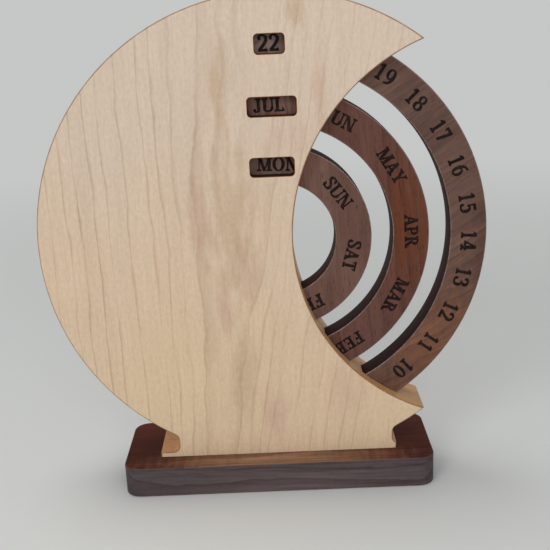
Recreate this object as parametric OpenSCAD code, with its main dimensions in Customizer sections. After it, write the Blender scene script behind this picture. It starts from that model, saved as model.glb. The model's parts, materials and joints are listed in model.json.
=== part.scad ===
// Perpetual desk calendar: a crescent of two glued boards on a base, with three
// loose rings (day of the month, month, day of the week) held in channels between
// the boards. The rings stick out at the right, where a finger turns them.
// Origin at the centre of the base's underside, X to the right, Y to the back, Z up.

/* [Base] */
// Width of the base, side to side
base_w = 203; // [190:1:240]
// Depth of the base, front to back
base_d = 67; // [60:1:90]
// Height of the base
base_h = 20.6; // [18:0.2:28]
// Radius of the base's upright corners
base_corner_r = 10; // [4:0.5:16]
// Depth of the mortise that takes the foot
mortise_depth = 8; // [5:0.5:10]
// Room round the foot in the mortise, on each side
mortise_gap = 0.1; // [0.05:0.05:0.3]

/* [Body] */
// Thickness of each of the two boards
board_t = 18; // [16:0.5:24]
// Wood left in front of the rings, and behind them
skin_t = 9; // [5:0.5:10]
// Width of the rim outside the outermost channel
rim_w = 15.5; // [13:0.5:24]
// How far the body's circle would dip below the top of the base
body_dip = 3.6; // [2:0.2:5]
// How far the body's centre stands to the right of the base's centre
body_shift = 5; // [0:0.5:7]
// Radius of the hollow that turns the body into a crescent
hollow_r = 125.3; // [115:0.1:140]
// How far the body reaches to the right of its centre, at the hollow
core_reach = 9.4; // [4:0.2:16]
// Height of the hollow's centre above the body's centre
hollow_rise = 0.9; // [-3:0.1:3]

/* [Foot] */
// Width of the foot
foot_w = 156; // [152:1:164]
// Height of the foot's top above the base
lip_h = 3; // [2:0.2:5]
// Width of the neck between the two notches
neck_w = 141.2; // [134:0.2:142]
// Radius of the notches' rounded inner corners
notch_r = 4.6; // [3:0.2:5]

/* [Rings] */
// Width of each ring, from its inner to its outer edge
ring_w = 22.6; // [20:0.2:24]
// Inner radius of the weekday ring, the smallest one
core_ring_r = 36.3; // [34:0.1:40]
// Step from one ring's inner radius to the next one's
ring_pitch = 36; // [35:0.2:38]
// Play between a ring and each curved wall of its channel, when centred
ring_play = 1.6; // [1:0.1:2]
// Gap that is left where a ring hangs on the inner wall of its channel
hang_gap = 0.3; // [0.2:0.05:0.5]
// Gap between a ring's face and the flat wall of its channel
face_gap = 0.3; // [0.2:0.05:0.6]
// Chamfer on the ring's edges
ring_chamfer = 0.6; // [0.2:0.1:1.2]

/* [Windows] */
// Height of the three windows
window_h = 11.7; // [9:0.1:14]
// Width of the date window
date_window_w = 17.9; // [14:0.1:22]
// Width of the month window
month_window_w = 29.4; // [24:0.1:34]
// Width of the weekday window
weekday_window_w = 27; // [24:0.1:34]
// Radius of the windows' corners
window_corner_r = 2.4; // [1:0.1:4]
// How far the date and month windows stand to the right of the body's centre
window_shift = -0.4; // [-3:0.1:3]
// How far the weekday window stands to the right of the body's centre
weekday_window_shift = -1.6; // [-4:0.1:4]

/* [Joinery] */
// Diameter of the dowels that line the two boards up
dowel_d = 6; // [5:0.5:8]
// Length of the dowels
dowel_len = 22; // [16:1:26]
// Gap round a dowel
dowel_gap = 0.05; // [0.02:0.01:0.1]
// Diameter of the base screws' shanks
screw_d = 4.2; // [3.5:0.1:5]
// Length of the base screws, head and point included
screw_len = 32; // [28:1:36]
// Diameter of the base screws' countersunk heads
screw_head_d = 8.2; // [7.6:0.2:9]
// Distance of the base screws from the middle of the base
screw_reach = 52; // [36:1:56]
// Gap round a screw
screw_gap = 0.1; // [0.05:0.01:0.2]

/* [Hidden] */
$fn = 96;

// the rings count from the inside: weekday 0, month 1, date 2
function ring_in(i) = core_ring_r + i * ring_pitch;
function ring_out(i) = ring_in(i) + ring_w;
function ring_mid(i) = ring_in(i) + ring_w / 2;

body_r = ring_out(2) + ring_play + rim_w;
body_z = base_h + body_r - body_dip;
ring_drop = ring_play - hang_gap;
ring_z = body_z - ring_drop;
ring_t = 2 * (board_t - skin_t - face_gap);
hollow_shift = hollow_r + core_reach;

// heights in the body's own plane, counted from its centre
base_top_y = base_h - body_z;
foot_top_y = base_top_y + lip_h;
foot_bottom_y = base_top_y - mortise_depth;
// centre of the round corner between the circle and the neck
fillet_x = neck_w / 2 + notch_r;
fillet_y = -sqrt(pow(body_r + notch_r, 2) - pow(fillet_x, 2));

window_w = [weekday_window_w, month_window_w, date_window_w];
window_x = [weekday_window_shift, window_shift, window_shift];

// the dowels stand in the middle of the rim, and one stands in the core
dowel_r = body_r - rim_w / 2;
dowel_angles = [68, 112, 156, 200, 244, 296];
core_dowel_x = -core_ring_r / 3;

// countersunk screws go up through the base into the middle of each board's foot
screw_head_h = (screw_head_d - screw_d) / 2;
screw_point_h = 5;
screw_inset = 0.6;
screw_places = [for (x = [-1, 1], y = [-1, 1]) [x * screw_reach, y * board_t / 2]];
eps = 0.01;

module rounded_rect(w, d, r) {
  square([w - 2 * r, d], center = true);
  square([w, d - 2 * r], center = true);
  for (x = [-1, 1], y = [-1, 1])
    translate([x * (w / 2 - r), y * (d / 2 - r)]) circle(r = r);
}

// stands a plane drawing up at the body's centre, from y_front back by t
module upright(y_front, t, z = body_z) {
  translate([body_shift, y_front + t, z]) rotate([90, 0, 0]) linear_extrude(t) children();
}

// the notch's two round inner corners, on the right (1) or the left (-1)
module notch_corners(side) {
  lip = foot_w / 2 - side * body_shift - neck_w / 2;
  tangent = body_r / (body_r + notch_r);
  scale([side, 1]) {
    difference() {
      translate([neck_w / 2 - eps, foot_top_y - eps])
        square([min(notch_r, lip) + eps, notch_r + eps]);
      translate([fillet_x, foot_top_y + notch_r]) circle(r = notch_r);
    }
    difference() {
      polygon([
        [fillet_x, fillet_y], [fillet_x * tangent, fillet_y * tangent],
        [neck_w / 2 - notch_r, fillet_y * tangent], [neck_w / 2 - notch_r, fillet_y]
      ]);
      translate([fillet_x, fillet_y]) circle(r = notch_r);
    }
  }
}

module crescent() {
  difference() {
    union() {
      circle(r = body_r, $fn = 256);
      translate([-neck_w / 2, foot_bottom_y]) square([neck_w, body_r / 2]);
      translate([-foot_w / 2 - body_shift, foot_bottom_y])
        square([foot_w, mortise_depth + lip_h]);
      for (side = [-1, 1]) notch_corners(side);
    }
    translate([hollow_shift, hollow_rise]) circle(r = hollow_r, $fn = 256);
  }
}

module channels() {
  for (i = [0:2]) difference() {
    circle(r = ring_out(i) + ring_play, $fn = 256);
    circle(r = ring_in(i) - ring_play, $fn = 256);
  }
}

module windows() {
  for (i = [0:2]) translate([window_x[i], ring_mid(i) - ring_drop])
    rounded_rect(window_w[i], window_h, window_corner_r);
}

// dowels, or with a gap their holes, across the joint between the boards
module dowels(gap = 0, end_gap = 0) {
  for (a = dowel_angles) translate([body_shift, 0, body_z])
    rotate([0, -a, 0]) translate([dowel_r, 0, 0]) dowel(gap, end_gap);
  translate([body_shift + core_dowel_x, 0, body_z]) dowel(gap, end_gap);
}

module dowel(gap, end_gap) {
  rotate([90, 0, 0])
    cylinder(d = dowel_d + 2 * gap, h = dowel_len + 2 * end_gap, center = true);
}

// a countersunk screw pointing up, or with a gap its hole
module screw(gap = 0) {
  shank_r = screw_d / 2 + gap;
  head_r = screw_head_d / 2 + gap;
  translate([0, 0, screw_inset]) {
    cylinder(r1 = head_r, r2 = shank_r, h = screw_head_h);
    cylinder(r = shank_r, h = screw_len - screw_point_h + gap);
    translate([0, 0, screw_len - screw_point_h + gap])
      cylinder(r1 = shank_r, r2 = shank_r / 5, h = screw_point_h);
  }
  if (gap > 0) translate([0, 0, -eps]) cylinder(r = head_r, h = screw_inset + 2 * eps);
}

module screws(gap = 0) {
  for (p = screw_places) translate([p[0], p[1], 0]) screw(gap);
}

// one ring, its axis along Y, centred on the joint between the boards
module ring(i) {
  c = ring_chamfer;
  h = ring_t / 2;
  translate([body_shift, 0, ring_z]) rotate([90, 0, 0]) rotate_extrude($fn = 256)
    polygon([
      [ring_in(i), -h + c], [ring_in(i) + c, -h], [ring_out(i) - c, -h], [ring_out(i), -h + c],
      [ring_out(i), h - c], [ring_out(i) - c, h], [ring_in(i) + c, h], [ring_in(i), h - c]
    ]);
}

module base() {
  color([0.27, 0.18, 0.16]) difference() {
    linear_extrude(base_h) rounded_rect(base_w, base_d, base_corner_r);
    translate([0, 0, base_h - mortise_depth + base_h / 2])
      cube([foot_w + 2 * mortise_gap, 2 * (board_t + mortise_gap), base_h], center = true);
    screws(screw_gap);
  }
}

module front_board() {
  color([0.84, 0.75, 0.62]) difference() {
    upright(-board_t, board_t) crescent();
    upright(skin_t - board_t, board_t - skin_t + eps) channels();
    upright(-board_t - eps, skin_t + 2 * eps) windows();
    dowels(dowel_gap, 1);
    screws(screw_gap);
  }
}

module back_board() {
  color([0.80, 0.70, 0.56]) difference() {
    upright(0, board_t) crescent();
    upright(-eps, board_t - skin_t + eps) channels();
    dowels(dowel_gap, 1);
    screws(screw_gap);
  }
}

module date_ring() {
  color([0.42, 0.31, 0.27]) ring(2);
}

module month_ring() {
  color([0.47, 0.32, 0.24]) ring(1);
}

module weekday_ring() {
  color([0.44, 0.33, 0.29]) ring(0);
}

module board_dowels() {
  color([0.76, 0.62, 0.44]) dowels();
}

module base_screws() {
  color([0.62, 0.62, 0.60]) screws();
}

base();
front_board();
back_board();
date_ring();
month_ring();
weekday_ring();
board_dowels();
base_screws();
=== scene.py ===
import json
from math import cos, hypot, pi, radians, sin

import bmesh
import bpy
from mathutils import Matrix, Vector
from mathutils.geometry import delaunay_2d_cdt


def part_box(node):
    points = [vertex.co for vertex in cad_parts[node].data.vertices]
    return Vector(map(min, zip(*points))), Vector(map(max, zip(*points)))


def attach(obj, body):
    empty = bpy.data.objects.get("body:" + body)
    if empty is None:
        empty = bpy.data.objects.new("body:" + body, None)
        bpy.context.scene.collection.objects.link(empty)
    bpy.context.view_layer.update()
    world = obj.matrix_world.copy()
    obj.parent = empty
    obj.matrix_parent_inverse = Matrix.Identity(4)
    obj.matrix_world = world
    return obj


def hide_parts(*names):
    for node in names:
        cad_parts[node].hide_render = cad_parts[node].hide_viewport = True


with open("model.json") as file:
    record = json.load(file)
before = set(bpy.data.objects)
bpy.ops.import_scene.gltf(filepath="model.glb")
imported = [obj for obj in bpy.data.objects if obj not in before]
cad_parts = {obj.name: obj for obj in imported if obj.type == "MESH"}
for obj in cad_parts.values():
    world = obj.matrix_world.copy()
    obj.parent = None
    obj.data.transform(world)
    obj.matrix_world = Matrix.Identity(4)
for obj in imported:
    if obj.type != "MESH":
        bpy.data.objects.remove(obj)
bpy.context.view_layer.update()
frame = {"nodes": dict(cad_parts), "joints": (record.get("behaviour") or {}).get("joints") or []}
print("frame: loaded", len(frame["nodes"]), "nodes")

scene = bpy.context.scene
mm = 0.001
weldReach = 1e-6           # corners closer than this are one
levelReach = 1e-5          # how near a corner on a face's plane lies to it
facingFront = (pi / 2, 0, 0)   # turns what looks up to look forward
dialCentre = Vector(frame["joints"][0]["pos_m"])   # all three rings turn about this axis
frontLow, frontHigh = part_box("front_board")
backLow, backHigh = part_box("back_board")
baseLow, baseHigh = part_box("base")


def mathSign(operation, swapped=False):
    # what one sign does between two outputs, or an output and a number
    def sign(self, other):
        return calc(operation, other, self) if swapped else calc(operation, self, other)
    return sign


class Wire:
    # a node's output to count with: every sign adds a math node to its tree
    def __init__(self, tree, socket):
        self.tree = tree
        self.socket = socket

    __add__ = mathSign("ADD")
    __sub__ = mathSign("SUBTRACT")
    __rsub__ = mathSign("SUBTRACT", swapped=True)
    __mul__ = mathSign("MULTIPLY")
    __truediv__ = mathSign("DIVIDE")
    __pow__ = mathSign("POWER")


def treeOf(values):
    # the tree that holds the outputs among the values
    return next(value.tree for value in values if isinstance(value, Wire))


def plug(value, socket):
    # links an output to the socket or writes a plain value on it
    value = getattr(value, "socket", value)
    if isinstance(value, bpy.types.NodeSocket):
        socket.id_data.links.new(value, socket)
    elif socket.type == "RGBA":
        socket.default_value = (*value, 1)
    else:
        socket.default_value = value


def addNode(tree, kind, inputs=None, **settings):
    # inputs maps a socket's name or number to its value; the outputs come back by both
    node = tree.nodes.new(kind)
    for key, value in settings.items():
        setattr(node, key, value)
    for key, value in (inputs or {}).items():
        plug(value, node.inputs[key])
    wires = [Wire(tree, output) for output in node.outputs]
    return {**{wire.socket.name: wire for wire in wires}, **dict(enumerate(wires))}


def addShape(tree, kind, inputs=None, **settings):
    # a geometry node's first output
    return addNode(tree, "GeometryNode" + kind, inputs, **settings)[0]


def calc(operation, *values):
    return addNode(treeOf(values), "ShaderNodeMath", dict(enumerate(values)), operation=operation)[0]


def ramp(value, fromMin, fromMax, toMin=0.0, toMax=1.0):
    sockets = {"Value": value, "From Min": fromMin, "From Max": fromMax, "To Min": toMin, "To Max": toMax}
    return addNode(value.tree, "ShaderNodeMapRange", sockets, interpolation_type="SMOOTHSTEP")[0]


def axes(vector):
    return addNode(vector.tree, "ShaderNodeSeparateXYZ", {0: vector})


def joinAxes(tree, x=0.0, y=0.0, z=0.0):
    return addNode(tree, "ShaderNodeCombineXYZ", {0: x, 1: y, 2: z})[0]


def mapped(vector, **sockets):
    return addNode(vector.tree, "ShaderNodeMapping", {"Vector": vector, **sockets})[0]


def noise(vector, size, offset=0.0, detail=2.0, rough=0.5, distortion=0.0, output="Fac"):
    # a noise whose grains measure size in millimetres
    place = mapped(vector, Location=[offset] * 3, Scale=[1 / (length * mm) for length in size])
    sockets = {"Vector": place, "Scale": 1.0, "Detail": detail, "Roughness": rough, "Distortion": distortion}
    return addNode(vector.tree, "ShaderNodeTexNoise", sockets)[output]


def mixColour(amount, a, b, blend="MIX"):
    return addNode(treeOf((amount, a, b)), "ShaderNodeMix", {0: amount, 6: a, 7: b}, data_type="RGBA",
                   blend_type=blend)[2]


socketKinds = {float: "Float", int: "Int", tuple: "Vector", Vector: "Vector"}


def newGroup(name, inputs, *outputs, kind="ShaderNodeTree"):
    # inputs maps a label to its default, or to the socket's kind where it has none
    tree = bpy.data.node_groups.new(name, kind)
    for label, default in inputs.items():
        isPlain = not isinstance(default, str)
        socketKind = socketKinds[type(default)] if isPlain else default
        socket = tree.interface.new_socket(label, in_out="INPUT", socket_type="NodeSocket" + socketKind)
        if isPlain:
            socket.default_value = default
    outputKind = "Float" if kind == "ShaderNodeTree" else "Geometry"
    for label in outputs:
        tree.interface.new_socket(label, in_out="OUTPUT", socket_type="NodeSocket" + outputKind)
    return tree, addNode(tree, "NodeGroupInput"), tree.nodes.new("NodeGroupOutput").inputs


def useGroup(group, inputs):
    return addNode(treeOf(inputs.values()), "ShaderNodeGroup", inputs, node_tree=group)


def newObject(name, data, *materials):
    obj = bpy.data.objects.new(name, data)
    scene.collection.objects.link(obj)
    for material in materials:
        data.materials.append(material)
    return obj


def grown(name, tree, values, points=()):
    # runs a geometry tree on a few host points and keeps the result as a plain mesh
    host = bpy.data.meshes.new(name + "Host")
    host.from_pydata(points, [], [])
    obj = newObject(name, host)
    modifier = obj.modifiers.new("make", "NODES")
    modifier.node_group = tree
    sockets = {item.name: item.identifier for item in tree.interface.items_tree
               if item.item_type == "SOCKET" and item.in_out == "INPUT"}
    for key, value in values.items():
        modifier[sockets[key]] = value
    depsgraph = bpy.context.evaluated_depsgraph_get()
    mesh = bpy.data.meshes.new_from_object(obj.evaluated_get(depsgraph), depsgraph=depsgraph)
    mesh.name = name
    obj.modifiers.remove(modifier)
    obj.data = mesh
    return obj


# camera, lamps and floor

cameraView = {
    "place": (4.32, -552.1, 307.9),   # millimetres
    "down": 17.106,                   # degrees
    "heading": 0.21,
    "roll": -2.445,
    "lens": 58.676,
    "sensor": 36,
}


def makeCamera():
    data = bpy.data.cameras.new("camera")
    data.lens = cameraView["lens"]
    data.sensor_width = cameraView["sensor"]
    camera = newObject("camera", data)
    turn = (Matrix.Rotation(radians(cameraView["heading"]), 4, "Z")
            @ Matrix.Rotation(radians(90 - cameraView["down"]), 4, "X")
            @ Matrix.Rotation(radians(cameraView["roll"]), 4, "Z"))
    camera.matrix_world = Matrix.Translation(Vector(cameraView["place"]) * mm) @ turn
    scene.camera = camera


studio = {   # in metres
    "worldStrength": 0.35,
    "backdrop": (0.56, 0.575, 0.565),
    "floor": (0.71, 0.725, 0.715),
    "floorRadius": 4.0,
    "floorSides": 96,
    "floorRoughness": 0.8,
    "floorSpecular": 0.2,
    "fade": (0.3, 1.3),   # from the middle, where the floor turns into the backdrop
    "lamps": {            # name: place, size, watts
        "keyLamp": ((-0.95, -1.5, 1.15), 0.9, 9.5),
        "fillLamp": ((0.25, -1.8, 0.65), 1.5, 12.4),
        "topLamp": ((-0.3, 0.25, 2.1), 1.0, 11.4),
    },
    "aim": (0, 0, 0.14),
}


def makeLamps():
    world = bpy.data.worlds.new("studio")
    scene.world = world
    world.use_nodes = True
    background = world.node_tree.nodes["Background"]
    rays = addNode(world.node_tree, "ShaderNodeLightPath")
    mirrored = calc("MAXIMUM", rays["Is Glossy Ray"], rays["Is Transmission Ray"])
    seen = calc("MAXIMUM", rays["Is Camera Ray"], mirrored)
    plug(mixColour(seen, (1, 1, 1), studio["backdrop"]), background.inputs["Color"])
    plug(ramp(seen, 0, 1, studio["worldStrength"], 1), background.inputs["Strength"])
    for name, (place, size, watts) in studio["lamps"].items():
        lamp = bpy.data.lights.new(name, "AREA")
        lamp.shape = "DISK"
        lamp.size = size
        lamp.energy = watts
        obj = newObject(name, lamp)
        obj.location = place
        obj.rotation_euler = (Vector(studio["aim"]) - Vector(place)).to_track_quat("-Z", "Y").to_euler()


def startMaterial(name, specular, metallic=0.0):
    # returns the material with the object's own coordinates
    material = bpy.data.materials.new(name)
    material.use_nodes = True
    tree = material.node_tree
    shader = tree.nodes["Principled BSDF"]
    shader.inputs["Specular IOR Level"].default_value = specular
    shader.inputs["Metallic"].default_value = metallic
    return material, addNode(tree, "ShaderNodeTexCoord")["Object"]


def makeFloor():
    floorMesh = bpy.data.meshes.new("floor")
    bm = bmesh.new()
    bmesh.ops.create_circle(bm, cap_ends=True, segments=studio["floorSides"],
                            radius=studio["floorRadius"])
    bm.to_mesh(floorMesh)
    bm.free()
    material, place = startMaterial("paleFloor", studio["floorSpecular"])
    tree = material.node_tree
    shader = tree.nodes["Principled BSDF"]
    plug(studio["floor"], shader.inputs["Base Color"])
    plug(studio["floorRoughness"], shader.inputs["Roughness"])
    distance = addNode(tree, "ShaderNodeVectorMath", {0: place}, operation="LENGTH")["Value"]
    glow = addNode(tree, "ShaderNodeEmission", {"Color": studio["backdrop"]})[0]
    blend = addNode(tree, "ShaderNodeMixShader",
                    {0: ramp(distance, *studio["fade"]), 1: shader.outputs[0], 2: glow})[0]
    plug(blend, tree.nodes["Material Output"].inputs["Surface"])
    newObject("floor", floorMesh, material)


makeCamera()
makeLamps()
makeFloor()
scene.view_settings.view_transform = "Standard"
print("stage: camera, lamps and floor")


# effects that several woods share, each a group with its own sockets

def makeHeartGroup():
    # how far a point lies from the heart of the tree, in millimetres; the grain runs along Z and
    # the heart lies Depth behind the face at Z = 0, coming up to it at Z = Reach, so the years end
    # in a V; they stand upright to the left of the heart and lean by Lean to its right
    tree, given, result = newGroup("heart distance", {
        "Vector": (0, 0, 0), "Lean": 0.0, "Depth": 0.0, "Reach": 150.0, "Wander": 4.0, "Ripple": 0.5,
        "Seed": 0.0}, "Distance")
    place = axes(given["Vector"])
    seed = joinAxes(tree, given["Seed"], given["Seed"], given["Seed"])
    moved = addNode(tree, "ShaderNodeVectorMath", {0: given["Vector"], 1: seed})[0]
    slow = addNode(tree, "ShaderNodeSeparateColor",
                   {0: noise(moved, (30, 30, 56), detail=1.5, output="Color")})
    quick = addNode(tree, "ShaderNodeSeparateColor", {0: noise(moved, (6, 6, 17), output="Color")})
    sides = []
    for i, axis in enumerate(("X", "Y")):
        sway = (slow[i] - 0.5) * given["Wander"] + (quick[i] - 0.5) * given["Ripple"]
        sides.append(place[axis] / mm + sway * 2.0)
    height = place["Z"] / mm
    right = ramp(sides[0], -45, 45)
    across = sides[0] - right * (height * given["Lean"])
    share = calc("MAXIMUM", 0.0, 1.0 - height / given["Reach"])
    deep = calc("SQRT", share) * given["Depth"] + sides[1]
    plug(calc("SQRT", across * across + deep * deep), result["Distance"])
    return tree


def makeLineGroup():
    # one year's dark line: soft on the side towards the heart, sharp on the outside
    tree, given, result = newGroup("year line", {
        "Vector": (0, 0, 0), "Distance": 0.0, "Radius": 50.0, "Softness": 1.0, "Strength": 0.5}, "Line")
    past = given["Distance"] - given["Radius"]
    change = noise(given["Vector"], (12, 12, 34), 8.1, detail=1)
    width = given["Softness"] * ramp(change, 0.35, 0.65, -0.6, -2.6)
    line = ramp(past, width, 0.0) ** 1.7 * ramp(past, 0.05, 0.5, 1, 0)
    plug(line * given["Strength"], result["Line"])
    return tree


def makeYearGroup():
    # evenly spread years, no two of them equally strong or wide
    tree, given, result = newGroup("year rings", {
        "Distance": 0.0, "Spacing": 3.0, "Sharpness": 3.0, "Uneven": 0.6}, "Line")
    count = given["Distance"] / given["Spacing"]
    drift = addNode(tree, "ShaderNodeTexNoise", {"W": count, "Scale": 0.37, "Detail": 1.0},
                    noise_dimensions="1D")["Fac"]
    count = (drift - 0.5) * 2.4 + count
    share = calc("FRACT", count)
    strength = addNode(tree, "ShaderNodeTexWhiteNoise", {"W": calc("FLOOR", count)},
                       noise_dimensions="1D")["Value"]
    line = share ** given["Sharpness"] * ramp(share, 0.93, 1.0, 1.0, 0.0)
    plug(line * (1.0 - strength * given["Uneven"]), result["Line"])
    return tree


def makeFibreGroup():
    # streaks along the grain, from hair thin to finger wide, and fine flecks
    tree, given, result = newGroup("fibres", {
        "Vector": (0, 0, 0), "Fine": 0.5, "Broad": 0.5, "Mottle": 0.2}, "Streaks", "Height")
    vector = given["Vector"]
    fine = noise(vector, (0.5, 0.5, 15), detail=3, rough=0.6)
    medium = noise(vector, (1.8, 1.8, 42), 3.1)
    broad = noise(vector, (9, 9, 130), 7.7)
    mottle = noise(vector, (1.7, 1.7, 3.4), 5.9, detail=4, rough=0.6)
    streaks = (fine - 0.5) * given["Fine"]
    for value, amount in ((medium, "Broad"), (broad, "Broad"), (mottle, "Mottle")):
        streaks = streaks + (value - 0.5) * given[amount]
    plug(streaks, result["Streaks"])
    plug(fine, result["Height"])
    return tree


def makePoreGroup():
    # short dark pores along the grain, as walnut has
    tree, given, result = newGroup("pores", {"Vector": (0, 0, 0), "Amount": 0.5}, "Mask")
    grain = noise(given["Vector"], (0.5, 0.5, 6), detail=1, rough=0.4)
    limit = 0.76 - given["Amount"] * 0.2
    plug(ramp(grain - limit, 0.0, 0.1), result["Mask"])
    return tree


patchSockets = ("Middle X", "Middle Z", "Half Width", "Half Height", "Strength")


def makePatchGroup():
    # a ragged soft patch across the face, its middle and half sizes in millimetres
    tree, given, result = newGroup("soft patch", {
        "Vector": (0, 0, 0), **{label: 1.0 for label in patchSockets}, "Ragged": 1.6}, "Mask")
    place = axes(given["Vector"])
    rag = noise(given["Vector"], (4, 4, 17), 9.3, detail=3)
    across = (place["X"] / mm - given["Middle X"]) / given["Half Width"]
    upward = (place["Z"] / mm - given["Middle Z"]) / given["Half Height"]
    spread = calc("SQRT", across * across + upward * upward) + (rag - 0.5) * given["Ragged"]
    plug(ramp(spread, 0.1, 1.0, 1.0, 0.0) * given["Strength"], result["Mask"])
    return tree


def makeEdgeWallGroup():
    # the rounded edges and the walls, which look away from Axis on both sides: the maple's toasted edges and
    # sawn walls, and on the walnut base a painted highlight and painted sheen; the edge mask is whole where
    # the edge has turned so far that its normal's share along Axis is Full
    tree, given, result = newGroup("edge wear", {
        "Vector": (0, 0, 0), "Axis": (0, 1, 0), "Reach": 0.5, "Full": 0.8}, "Edge", "Wall")
    normal = addNode(tree, "ShaderNodeNewGeometry")["Normal"]
    turned = addNode(tree, "ShaderNodeVectorMath", {0: normal, 1: given["Axis"]}, operation="DOT_PRODUCT")
    flat = calc("ABSOLUTE", turned["Value"])
    slope = ramp(flat, 0.02, 0.4) * ramp(flat, given["Full"], 0.999, 1, 0)
    patchy = noise(given["Vector"], (6, 6, 6), detail=3)
    plug(slope * ramp(patchy, 0.3, 0.7, given["Reach"], 1.0), result["Edge"])
    plug(ramp(flat, 0.35, 0.9, 1, 0), result["Wall"])
    return tree


def makeHandlingGroup():
    # faint smears and dust in the finish, which change its gloss
    tree, given, result = newGroup("handling marks", {
        "Vector": (0, 0, 0), "Gloss": 0.4, "Spread": 0.15}, "Roughness")
    smears = noise(given["Vector"], (23, 23, 31), detail=4, rough=0.6)
    plug((smears - 0.5) * given["Spread"] + given["Gloss"], result["Roughness"])
    return tree


heartGroup = makeHeartGroup()
lineGroup = makeLineGroup()
yearGroup = makeYearGroup()
fibreGroup = makeFibreGroup()
poreGroup = makePoreGroup()
patchGroup = makePatchGroup()
edgeWallGroup = makeEdgeWallGroup()
handlingGroup = makeHandlingGroup()


def intoWood(vector, place, turn=(0, 0, 0)):
    # coordinates counted from the tree's heart: place in millimetres, turn in degrees
    moved = mapped(vector, Location=[-v * mm for v in place])
    return mapped(moved, Rotation=[radians(v) for v in turn])


def addPatches(vector, colour, stains, ragged=1.6):
    # each patch lists a value for each of its sockets and its tint; most are stains in the wood, the base's
    # is a painted reflection, and each ring's last one is painted light
    for *shape, tint in stains:
        sockets = {"Vector": vector, "Ragged": ragged, **dict(zip(patchSockets, shape))}
        colour = mixColour(useGroup(patchGroup, sockets)["Mask"], colour, tint)
    return colour


def shaded(colour, streaks):
    # the colour lighter and darker along the streaks
    shade = streaks + 1.0
    grey = addNode(shade.tree, "ShaderNodeCombineColor", {0: shade, 1: shade, 2: shade})[0]
    return mixColour(1.0, colour, grey, "MULTIPLY")


def finishSurface(material, vector, colour, height, roughness, depth=0.05):
    # depth is the bump's in millimetres
    shader = material.node_tree.nodes["Principled BSDF"]
    marks = useGroup(handlingGroup, {"Vector": vector, "Gloss": roughness})
    bump = addNode(vector.tree, "ShaderNodeBump", {
        "Height": height, "Distance": depth * mm, "Strength": 1.0})
    plug(colour, shader.inputs["Base Color"])
    plug(marks["Roughness"], shader.inputs["Roughness"])
    plug(bump[0], shader.inputs["Normal"])
    return material


# the crescent's two maple boards

maple = {
    "cream": (0.64, 0.51, 0.4),        # towards the top
    "tan": (0.65, 0.485, 0.325),       # towards the foot
    "creamRise": (60, 290),            # the heights between which tan turns into cream
    "line": (0.385, 0.225, 0.135),
    "faintYears": 0.09,                # strength of the evenly spread years
    "cut": (0.66, 0.335, 0.12),        # sawn walls drink more oil
    "cutShare": 0.85,
    "edge": (0.33, 0.15, 0.06),        # rounded edges, toasted by the cutter
    "outerEdge": (0.11, 0.045, 0.02),
    "edgeShare": 0.9,
    "edgeFull": 0.94,
    "charred": (0.012, 0.006, 0.004),  # the windows' walls
    "sooty": (0.045, 0.019, 0.01),
    "singed": (0.5, 0.19, 0.06),       # their front edges
    "roughness": 0.5,
    "specular": 0.35,
    "outlineRound": 1.3,               # millimetres
    "windowRim": 0.95,
    "jointEase": 0.22,
}
blush = (0.56, 0.37, 0.27)
amber = (0.5, 0.35, 0.215)

frontBoard = {
    "heart": (-35.5, frontLow.y / mm, 52), "lean": 0.153, "depth": 22.2, "reach": 414.0, "seed": 0.17,
    "paleSide": 0.6,   # strength of the years to the right of the heart
    # each strong year: distance from the heart, softness, strength
    "years": [
        (17, 1.8, 0.16), (20.3, 2.2, 0.26), (24, 2.4, 0.2), (24.6, 0.8, 0.42), (30.2, 0.8, 0.34),
        (35.7, 0.9, 0.42), (41.4, 0.9, 0.42), (53.7, 1.0, 0.42), (65.7, 0.9, 0.42), (73.6, 0.9, 0.48),
        (82.7, 0.9, 0.58), (90.4, 0.9, 0.58), (100, 0.9, 0.3), (113, 0.9, 0.4)],
    # middle x and z, half width and height, strength, tint
    "stains": [
        (-27, 262, 8, 36, 0.62, amber), (33, 256, 7, 30, 0.62, blush), (19, 301, 9, 13, 0.6, amber),
        (-43, 180, 10, 44, 0.7, blush), (-22, 178, 20, 66, 0.6, amber), (-30, 121, 5, 22, 0.8, blush),
        (-14, 142, 11, 20, 0.65, blush), (-19, 78, 11, 50, 0.5, amber), (-1, 47, 11, 27, 0.7, blush),
        (46, 66, 24, 30, 0.4, blush), (16, 228, 28, 20, 0.3, blush), (30, 120, 12, 40, 0.3, amber)],
}
backBoard = {
    "heart": (16, backHigh.y / mm, 250), "lean": -0.07, "depth": -22.0, "reach": 170.0, "seed": 0.52,
    "paleSide": 0.8,
    "years": [
        (9, 2.4, 0.35), (19, 2.0, 0.5), (27, 1.2, 0.5), (38, 1.0, 0.45), (46.5, 0.9, 0.4), (58, 1.0, 0.5),
        (66, 0.8, 0.4), (78, 1.0, 0.5), (89, 0.9, 0.4), (103, 1.0, 0.55), (118, 0.9, 0.4), (131, 1.0, 0.5)],
    "stains": [
        (10, 230, 8, 40, 0.5, amber), (-12, 120, 10, 30, 0.4, blush), (30, 60, 8, 26, 0.5, blush),
        (-70, 180, 8, 34, 0.35, amber), (-40, 60, 9, 20, 0.3, amber)],
}


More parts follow.
